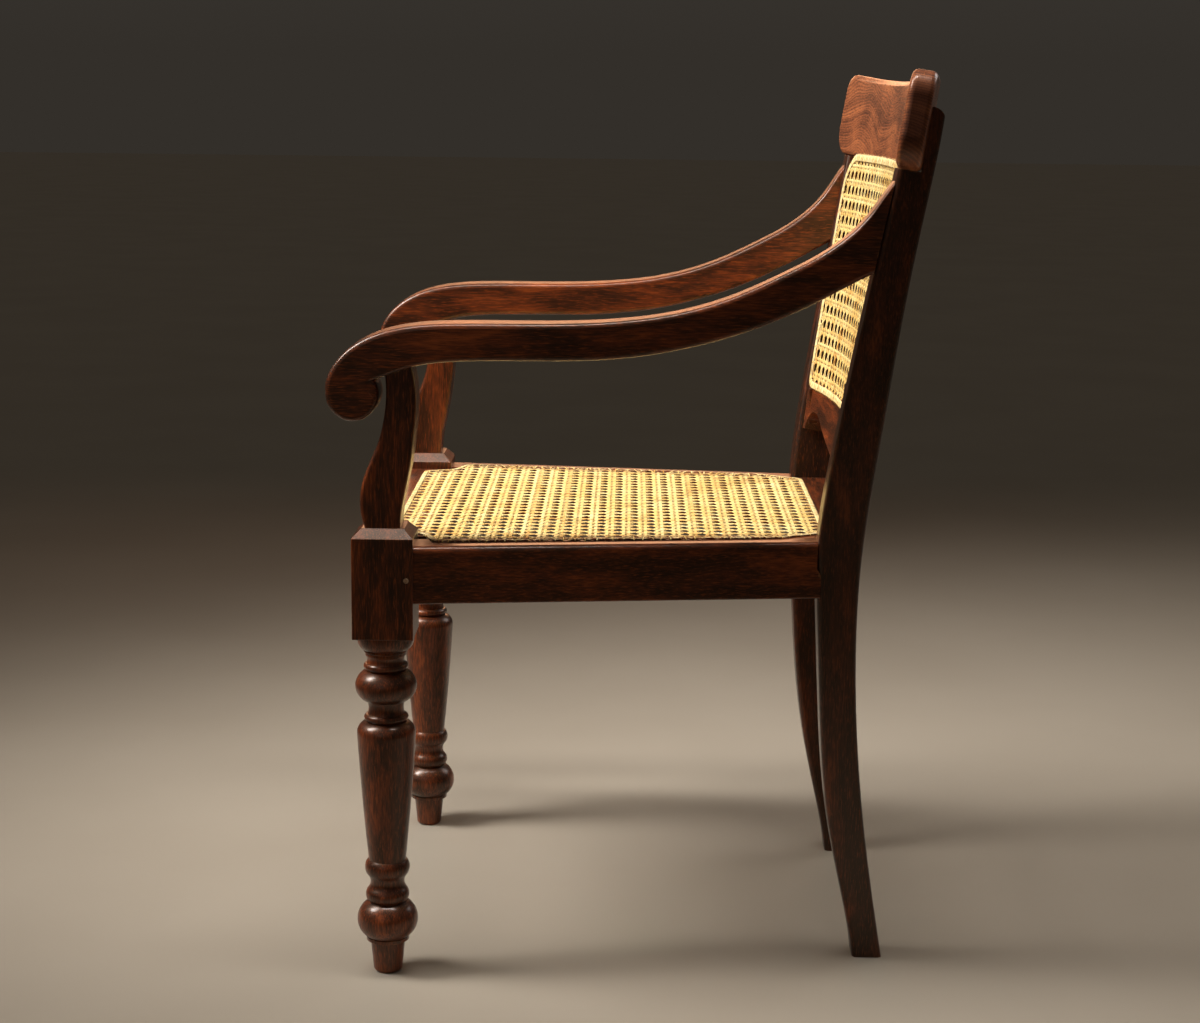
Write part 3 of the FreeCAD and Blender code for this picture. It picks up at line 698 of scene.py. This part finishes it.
@dataclass
class Sheet:
    """A smooth surface that cane is woven over, with places given in its own flat view.

    A back is seen from the front there, and a seat from above. A wall of the binder is a face whose normal
    has little depth in that view.
    """

    node: str
    binder_node: str
    upright: bool
    wall_depth: float = 0.3
    probe: float = 0.2 * MM
    plan: list[int] = field(init=False)
    depth_axis: int = field(init=False)
    outward: float = field(init=False)
    weights: Array = field(init=False)
    outline: Array = field(init=False)

    def __post_init__(self) -> None:
        """Fit the surface to the side of the panel that lies on the wood."""
        self.plan = [0, 2] if self.upright else [0, 1]
        self.depth_axis = 1 if self.upright else 2
        self.outward = -1.0 if self.upright else 1.0
        points = np.array([vertex.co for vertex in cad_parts[self.node].data.vertices])
        depth = points[:, self.depth_axis]
        columns = self.columns(points[:, self.plan])
        weights = np.linalg.lstsq(columns, depth, rcond=None)[0]
        on_wood = (depth - columns @ weights) * self.outward < 0.0
        self.weights = np.linalg.lstsq(columns[on_wood], depth[on_wood], rcond=None)[0]
        self.outline = self.rim()

    def rim(self) -> Array:
        """Find the panel's outline, which is the outer wall of the binder.

        Returns:
            Corners of the outline, counter-clockwise, one row each.
        """
        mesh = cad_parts[self.binder_node].data
        middle = np.mean([np.array(vertex.co)[self.plan] for vertex in mesh.vertices], axis=0)
        corners = set()
        for face in mesh.polygons:
            normal = np.array(face.normal)
            outward = normal[self.plan] @ (np.array(face.center)[self.plan] - middle)
            if abs(normal[self.depth_axis]) < self.wall_depth and outward > 0.0:
                for number in face.vertices:
                    corners.add(tuple(np.round(np.array(mesh.vertices[number].co)[self.plan], 5)))
        places = np.array(sorted(corners))
        turn = np.arctan2(places[:, 1] - middle[1], places[:, 0] - middle[0])
        return places[np.argsort(turn)]

    def columns(self, flat: Array) -> Array:
        """Terms of the surface's depth: a lean, and a bow that changes with height.

        Args:
            flat: Places in the flat view.

        Returns:
            One row of terms for each place.
        """
        across, along = flat[:, 0], flat[:, 1]
        if not self.upright:
            return np.ones((len(flat), 1))
        bow = across ** 2
        return np.stack([np.ones_like(along), along, bow, bow * along, bow ** 2, bow ** 2 * along], axis=1)

    def at(self, flat: Array, heights: Array) -> Array:
        """Points in space over places in the flat view.

        Args:
            flat: Places in the flat view.
            heights: Height of each above the wood, towards the sitter.

        Returns:
            One point for each place.
        """
        points = np.zeros((len(flat), 3))
        points[:, self.plan] = flat
        points[:, self.depth_axis] = self.columns(flat) @ self.weights
        tilt = np.zeros((len(flat), 3))
        tilt[:, self.depth_axis] = 1.0
        for column in (0, 1):
            beside = flat.copy()
            beside[:, column] += self.probe
            rise = (self.columns(beside) @ self.weights - points[:, self.depth_axis]) / self.probe
            tilt[:, self.plan[column]] = -rise
        tilt /= np.linalg.norm(tilt, axis=1)[:, None]
        return points + tilt * self.outward * heights[:, None]


def quarter_turn(heading: Array) -> Array:
    """Directions at right angles to one heading or a row of them, counter-clockwise."""
    return np.stack([-heading[..., 1], heading[..., 0]], axis=-1)


def inward(line: Array, reach: int = 1) -> Array:
    """Unit directions from places of a closed line to its inside.

    Args:
        line: Places of the line, counter-clockwise.
        reach: How many places away the neighbours are that give the line's course.

    Returns:
        One direction for each place.
    """
    inside = quarter_turn(np.roll(line, -reach, axis=0) - np.roll(line, reach, axis=0))
    return inside / np.linalg.norm(inside, axis=1)[:, None]


def inset(outline: Array, distance: float, step: float = 3.0 * MM) -> Array:
    """Evenly spaced places along a line inside an outline.

    Args:
        outline: Corners, counter-clockwise.
        distance: How far inside the line runs.
        step: Spacing of the places.

    Returns:
        Places of the line, one row each.
    """
    ring = np.vstack([outline, outline[:1]])
    run = np.concatenate([[0.0], np.cumsum(np.linalg.norm(np.diff(ring, axis=0), axis=1))])
    count = int(run[-1] / step)
    marks = np.arange(count) * run[-1] / count
    even = np.stack([np.interp(marks, run, ring[:, axis]) for axis in (0, 1)], axis=1)
    return even + distance * inward(even, 2)


class Way(Enum):
    """The way a pair of strands runs, as its direction in the flat view."""

    ALONG = (0.0, 1.0)
    ACROSS = (1.0, 0.0)


@dataclass(frozen=True)
class Pair:
    """Two strands that run side by side: the distance between their middles, and their width."""

    gap: float
    width: float


@dataclass(frozen=True)
class Stitches:
    """Thin loops that sew the binder down, no two quite alike.

    A loop starts outside the binder, at places that are shares of the binder's half width, with a rise over
    the binder's top at each. It then runs on into the weave, further at the sides of the panel. Both of its
    ends go down to the wood.
    """

    gap: float = 6.6 * MM
    width: float = 1.7 * MM
    thick: float = 0.4 * MM
    places: tuple[float, ...] = (-1.12, -1.05, -0.6, 0.0, 0.6)
    rises: tuple[float, ...] = (-0.8 * MM, 0.0, 0.15 * MM, 0.0, -0.5 * MM)
    side_run: float = 9.0 * MM
    least_run: float = 0.2
    tip: float = 0.4 * MM
    drift: float = 0.3
    lean: float = 0.7


@dataclass(frozen=True)
class DirtAndShade:
    """Dirt in the cane, and painted shade in the crevices of the weave, where either hides the cane's own
    colour.

    The dirt gathers round the line of holes, most of all at the sides, where hands take hold. The flanks
    and undersides of the strands are darkened too, with painted shade and a little dirt. The loops have
    taken up a small share of the dirt round the holes.
    """

    reach: float = 18.0 * MM
    full_reach: float = 0.25
    sides: float = 1.0
    ends: float = 0.15
    # Flanks and undersides of the strands: painted shade, with a little dirt.
    flank_dirt_and_shade: float = 1.8
    underside_dirt_and_shade: float = 0.3
    loop_share: float = 0.08


@dataclass
class CanePanel:
    """One caned panel in the six-way pattern: pairs both ways, and diagonals that leave eight-sided holes.

    Heights of the weave are counted in strands. A strand's flat underside and rounded skin are given by the
    share of its width that lies to each side of its middle.
    """

    node: str
    binder_node: str
    upright: bool
    pitch: float = 16.6 * MM
    across: Pair = Pair(5.2 * MM, 3.9 * MM)
    along: Pair = Pair(3.0 * MM, 2.5 * MM)
    diagonal_width: float = 2.5 * MM
    strand_thick: float = 0.42 * MM
    underside: float = 0.5
    skin: float = 0.34
    weave_level: float = 1.45
    pair_lift: float = 0.52
    pair_settled: float = 2.2
    diagonal_lift: float = 1.1
    diagonal_beats: float = 6.0
    shortest: float = 12.0 * MM
    tuck_run: float = 2.4 * MM
    tuck_depth: float = 2.8 * MM
    binder_width: float = 5.6 * MM
    binder_thick: float = 0.8 * MM
    binder_inset: float = 0.2 * MM
    stitches: Stitches = Stitches()
    dirt_and_shade: DirtAndShade = DirtAndShade()
    seed: int = 7
    sheet: Sheet = field(init=False)
    points: list[Array] = field(init=False, default_factory=list)
    faces: list[list[int]] = field(init=False, default_factory=list)
    dirt_shares: list[Array] = field(init=False, default_factory=list)

    def build(self, cane: Material, binder: Material) -> None:
        """Weave the panel and sew its border.

        Args:
            cane: Finish of the strands.
            binder: Finish of the border.
        """
        self.sheet = Sheet(self.node, self.binder_node, self.upright)
        self.weave()
        self.sew_loops()
        strands = self.close(self.node + "_strands", cane)
        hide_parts(self.node)
        self.lay_binder()
        border = self.close(self.binder_node + "_sewn", binder)
        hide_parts(self.binder_node)

    def close(self, name: str, finish: Material) -> bpy.types.Object:
        """Turn the strands laid so far into one piece.

        Args:
            name: Name of the piece.
            finish: Its finish.

        Returns:
            The piece.
        """
        points = np.vstack(self.points)
        piece = new_piece(name, points, self.faces)
        piece.data.materials.append(finish)
        self.mark_soil_and_shade(piece.data, points)
        LOG.info("%s woven with %d faces", name, len(self.faces))
        self.points, self.faces, self.dirt_shares = [], [], []
        return piece

    def mark_soil_and_shade(self, mesh: bpy.types.Mesh, points: Array) -> None:
        """Note how much dirt has gathered at each corner of a piece's faces, and the painted shade on the
        flanks and undersides of the strands.

        Args:
            mesh: Mesh of the piece.
            points: Its corner points.
        """
        line = self.hole_line()
        at_ends = np.abs(inward(line)[:, 1])
        most = self.dirt_and_shade.sides + (self.dirt_and_shade.ends - self.dirt_and_shade.sides) * at_ends
        tree = KDTree(len(line))
        for number, place in enumerate(line):
            tree.insert((place[0], place[1], 0.0), number)
        tree.balance()
        soil_and_shade = []
        for flat in points[:, self.sheet.plan]:
            _, number, away = tree.find((flat[0], flat[1], 0.0))
            fade = 1.0 + self.dirt_and_shade.full_reach - away / self.dirt_and_shade.reach
            soil_and_shade.append(most[number] * min(1.0, max(0.0, fade)))
        corners = np.array(self.faces)
        soil_and_shade = (np.array(soil_and_shade) * np.concatenate(self.dirt_shares))[corners]
        # Painted shade, with a little dirt: every strand's flanks and undersides get at least this much
        # darkening.
        low = corners % RING < RING_LOW
        least_dirt_and_shade = np.where(low.all(axis=1), self.dirt_and_shade.underside_dirt_and_shade, self.dirt_and_shade.flank_dirt_and_shade)
        soil_and_shade = np.where(low, np.maximum(soil_and_shade, least_dirt_and_shade[:, None]), soil_and_shade)
        mesh.attributes.new(SOIL_AND_SHADE_LAYER, "FLOAT", "CORNER").data.foreach_set("value", soil_and_shade.ravel())

    def weave(self) -> None:
        """Lay the four sets of strands."""
        low, high = self.sheet.outline.min(axis=0), self.sheet.outline.max(axis=0)
        middle = (low + high) / 2.0
        reach = int(np.abs(high - low).sum() / self.pitch) + 1
        lines = self.hole_line()
        for number in range(-reach, reach + 1):
            for member in (0, 1):
                for way in Way:
                    self.straight(lines, middle, number, member, way)
            for slope in (1.0, -1.0):
                self.diagonal(lines, middle, (number + 0.5) * self.pitch, slope)

    def hole_line(self) -> Array:
        """Line of the holes that the strands go down, under the middle of the binder."""
        return inset(self.sheet.outline, self.binder_width / 2.0 + self.binder_inset)

    def spans(self, lines: Array, origin: Array, heading: Array) -> list[Range]:
        """Stretches of a straight line that lie inside the line of holes.

        Args:
            lines: Line of the holes.
            origin: A place on the line.
            heading: Unit direction of the line.

        Returns:
            Distances of each stretch's start and end from the origin.
        """
        offset = lines - origin
        side = heading[0] * offset[:, 1] - heading[1] * offset[:, 0]
        along = offset @ heading
        next_side, next_along = np.roll(side, -1), np.roll(along, -1)
        crossing = (side > 0.0) != (next_side > 0.0)
        share = side[crossing] / (side[crossing] - next_side[crossing])
        places = np.sort(along[crossing] + share * (next_along - along)[crossing])
        stretches = zip(places[::2], places[1::2])
        return [(start, end) for start, end in stretches if end - start > self.shortest]

    def straight(self, lines: Array, middle: Array, number: int, member: int, way: Way) -> None:
        """Lay one strand of a pair, over and under the pairs that cross it.

        Args:
            lines: Line of the holes.
            middle: Centre of the panel.
            number: Number of the pair, counted from the centre.
            member: Which strand of its pair it is.
            way: The way it runs.
        """
        pair, crossed = (self.along, self.across) if way is Way.ALONG else (self.across, self.along)
        heading = np.array(way.value)
        shift = number * self.pitch + (member - 0.5) * pair.gap
        origin = middle + shift * heading[::-1]
        half = crossed.gap / 2.0
        settled = self.pair_settled * half
        beats = np.array([-0.5 * self.pitch, -settled, -half, 0.0, half, settled])
        sign = 1.0 if (member == 0) == (way is Way.ALONG) else -1.0
        for span in self.spans(lines, origin, heading):
            counts = np.arange(math.floor(span[0] / self.pitch), math.ceil(span[1] / self.pitch) + 1)
            marks = (counts[:, None] * self.pitch + beats[None, :]).ravel()
            place = marks - np.round(marks / self.pitch) * self.pitch
            # One over the first strand of the crossed pair, minus one under the second, then level again.
            wave = place / half * np.exp(0.5 * (1.0 - (place / half) ** 2))
            heights = self.pair_lift * self.strand_thick * sign * wave
            self.lay(origin, heading, span, marks, heights, pair.width)

    def diagonal(self, lines: Array, middle: Array, shift: float, slope: float) -> None:
        """Lay one diagonal, over the pairs one way and under those the other way.

        Args:
            lines: Line of the holes.
            middle: Centre of the panel.
            shift: Where it crosses the panel's long middle line.
            slope: One or minus one, for the way it rises.
        """
        heading = np.array([1.0, slope]) / math.sqrt(2.0)
        origin = middle + np.array([shift, 0.0])
        beat = self.pitch * math.sqrt(2.0) / self.diagonal_beats
        for span in self.spans(lines, origin, heading):
            marks = np.arange(math.ceil(span[0] / beat), math.floor(span[1] / beat) + 1) * beat
            across = shift + marks / math.sqrt(2.0)
            wave = np.cos(2.0 * math.pi * across / self.pitch) * slope
            heights = self.diagonal_lift * self.strand_thick * wave
            self.lay(origin, heading, span, marks, heights, self.diagonal_width)

    def lay(self, origin: Array, heading: Array, span: Range, marks: Array,
            heights: Array, width: float) -> None:
        """Lay a strand along a straight line and tuck both ends into their holes.

        Args:
            origin: A place on the line.
            heading: Unit direction of the line.
            span: Where the strand starts and ends.
            marks: Places along the line where its height is known.
            heights: Its height there, from the middle of the weave.
            width: Width of the strand.
        """
        start, end = span
        inner = (marks > start + self.tuck_run) & (marks < end - self.tuck_run)
        bend = 0.5 * self.tuck_run
        ends = np.array([-self.tuck_depth, 0.0])
        marks = np.concatenate([[start, start + bend], marks[inner], [end - bend, end]])
        heights = np.concatenate([ends, heights[inner], ends[::-1]]) + self.weave_level * self.strand_thick
        flat = origin + marks[:, None] * heading
        self.strand(flat, heights, quarter_turn(heading), width, self.strand_thick)

    def strand(self, flat: Array, heights: Array, side: Array, width: float, thick: float,
               closed: bool = False, dirt_share: float = 1.0) -> None:
        """Add one strand with a flat underside and a rounded skin.

        Args:
            flat: Places along the strand in the flat view.
            heights: Height of its middle at each place.
            side: Unit direction across the strand, one for all places or one each.
            width: Width of the strand.
            thick: Thickness of the strand.
            closed: True where the end joins the start.
            dirt_share: Share of the dirt round it that the strand has taken up.
        """
        side = np.broadcast_to(side, flat.shape)
        corners = ((-self.underside, -0.5), (self.underside, -0.5), (self.skin, 0.5), (-self.skin, 0.5))
        rings = np.stack([self.sheet.at(flat + side * beside * width, heights + above * thick)
                          for beside, above in corners], axis=1)
        first = sum(len(block) for block in self.points)
        count = len(flat)
        self.points.append(rings.reshape(-1, 3))
        self.dirt_shares.append(np.full(RING * count, dirt_share))
        for ring in range(count if closed else count - 1):
            near = first + RING * ring
            far = first + RING * ((ring + 1) % count)
            for corner in range(RING):
                after = (corner + 1) % RING
                self.faces.append([near + corner, far + corner, far + after, near + after])
        if not closed:
            last = first + RING * (count - 1)
            self.faces.append([first, first + 1, first + 2, first + 3])
            self.faces.append([last + 3, last + 2, last + 1, last])

    def binder_level(self) -> float:
        """Height of the binder's middle above the wood, with two strands under it."""
        return 2.0 * self.strand_thick + self.binder_thick / 2.0

    def lay_binder(self) -> None:
        """Lay the flat binder over the holes."""
        line = self.hole_line()
        heights = np.full(len(line), self.binder_level())
        self.strand(line, heights, inward(line), self.binder_width, self.binder_thick, closed=True)

    def sew_loops(self) -> None:
        """Sew the binder down with its loops."""
        line = self.hole_line()
        inside = inward(line)
        reach = 0.5 * self.binder_width
        top = self.binder_level() + 0.5 * self.binder_thick
        sewn = self.stitches
        rises = np.array([-top, *sewn.rises, -top])
        draw = random.Random(self.seed)
        spacing = np.linalg.norm(line[1] - line[0])
        for count in range(int(len(line) * spacing / sewn.gap)):
            number = round((count + draw.uniform(-sewn.drift, sewn.drift)) * sewn.gap / spacing) % len(line)
            lean = draw.uniform(-sewn.lean, sewn.lean)
            heading = inside[number] * math.cos(lean) + quarter_turn(inside[number]) * math.sin(lean)
            end = reach + sewn.side_run * inside[number][0] ** 2 * draw.uniform(sewn.least_run, 1.0)
            steps = np.array([*(share * reach for share in sewn.places), end, end + sewn.tip])
            flat = line[number] + steps[:, None] * heading
            self.strand(flat, top + rises, quarter_turn(heading), sewn.width, sewn.thick,
                        dirt_share=self.dirt_and_shade.loop_share)


@dataclass
class Lamp:
    """A soft box that is aimed at the chair and that the camera doesn't see."""

    name: str
    place: Triple
    width: float
    length: float
    power: float
    spread: float = 100.0
    aim: Triple = (0.0, 0.0, 0.45)
    tint: str = "#FFFFFF"

    def build(self) -> None:
        """Hang the lamp."""
        data = bpy.data.lights.new(self.name, "AREA")
        data.shape = "RECTANGLE"
        data.size = self.width
        data.size_y = self.length
        data.spread = math.radians(self.spread)
        data.energy = self.power
        data.color = linear(self.tint)[:3]
        lamp = bpy.data.objects.new(self.name, data)
        lamp.visible_camera = False
        lamp.location = self.place
        heading = Vector(self.aim) - Vector(self.place)
        lamp.rotation_euler = heading.to_track_quat("-Z", "Y").to_euler()
        bpy.context.scene.collection.objects.link(lamp)


@dataclass
class Studio:
    """Pale floor, soft lamps and a camera at the side of the chair."""

    floor_size: float = 60.0
    horizon: str = "#332F2A"
    zenith: str = "#55524E"
    sky_range: Range = (0.02, 0.6)
    lamps: tuple[Lamp, ...] = (
        Lamp("key_softbox", place=(0.12, -1.55, 2.15), width=0.7, length=1.4, power=10.8, spread=56.0,
             aim=(-0.25, 0.1, 0.42)),
        Lamp("top_softbox", place=(0.35, -0.1, 2.3), width=1.4, length=0.24, power=5.0, spread=76.0,
             aim=(0.0, -0.1, 0.45)),
        Lamp("side_softbox", place=(2.4, -0.9, 1.3), width=1.4, length=1.4, power=0.35),
        Lamp("back_softbox", place=(-1.4, 1.9, 1.8), width=1.2, length=1.2, power=3.5),
        Lamp("far_softbox", place=(-4.2, -0.2, 1.55), width=2.6, length=0.6, power=2.4, spread=60.0,
             aim=(0.0, -0.1, 0.6), tint="#FFB988"),
    )
    camera_place: Triple = (2.29479, -0.00912, 0.85980)
    camera_yaw: float = -0.0120
    camera_pitch: float = 0.1865
    camera_roll: float = -0.0111
    focal_length: float = 65.62

    def build(self) -> None:
        """Set up the floor, the light and the camera."""
        self.lay_floor()
        for lamp in self.lamps:
            lamp.build()
        self.light_sky()
        self.place_camera()
        bpy.context.scene.view_settings.view_transform = "Standard"

    def lay_floor(self) -> None:
        """Lay the floor under the feet."""
        half = self.floor_size / 2.0
        corners = [(-half, -half, 0.0), (half, -half, 0.0), (half, half, 0.0), (-half, half, 0.0)]
        mesh = bpy.data.meshes.new("studio_floor")
        mesh.from_pydata(corners, [], [(0, 1, 2, 3)])
        floor = bpy.data.objects.new("studio_floor", mesh)
        floor.data.materials.append(StudioPaper().make())
        bpy.context.scene.collection.objects.link(floor)

    def light_sky(self) -> None:
        """Fill the room with soft light, a little darker towards the horizon."""
        world = bpy.data.worlds.new("studio_air")
        world.use_nodes = True
        world.node_tree.nodes.clear()
        heading = add_node(world.node_tree, "TexCoord", output="Generated")
        height = add_node(world.node_tree, "SeparateXYZ", {"Vector": heading}, output="Z")
        sky = add_node(world.node_tree, "ValToRGB", {"Fac": height},
                       stops=tuple(zip(self.sky_range, (self.horizon, self.zenith))))
        air = add_node(world.node_tree, "Background", {"Color": sky, "Strength": 1.0})
        add_node(world.node_tree, "OutputWorld", {"Surface": air})
        bpy.context.scene.world = world

    def place_camera(self) -> None:
        """Stand the camera where the photograph was taken from."""
        data = bpy.data.cameras.new("photo_camera")
        data.lens = self.focal_length
        camera = bpy.data.objects.new("photo_camera", data)
        looking_along_minus_x = Matrix(((0.0, 0.0, 1.0), (1.0, 0.0, 0.0), (0.0, 1.0, 0.0)))
        turn = Matrix.Rotation(-self.camera_yaw, 3, "Z") @ looking_along_minus_x
        turn = turn @ Matrix.Rotation(-self.camera_pitch, 3, "X")
        turn = turn @ Matrix.Rotation(-self.camera_roll, 3, "Z")
        camera.matrix_world = Matrix.Translation(self.camera_place) @ turn.to_4x4()
        bpy.context.scene.collection.objects.link(camera)
        bpy.context.scene.camera = camera


def main() -> None:
    """Dress the wood, weave the cane and set up the studio."""
    logging.basicConfig(level=logging.INFO)
    WoodenFrame().dress()
    TurnedForms().build()
    cane = SplitCane("split_cane").make()
    binder = BinderCane("binder_cane").make()
    seat = CanePanel("seat_cane", "seat_cane_binder", upright=False)
    back = CanePanel("back_cane", "back_cane_binder", upright=True, across=Pair(4.4 * MM, 3.1 * MM),
                     along=Pair(4.3 * MM, 3.4 * MM), binder_width=9.0 * MM, stitches=Stitches(side_run=0.0),
                     dirt_and_shade=DirtAndShade(sides=0.2, ends=0.0))
    for panel in (seat, back):
        panel.build(cane, binder)
    Studio().build()


if __name__ == "__main__":
    main()
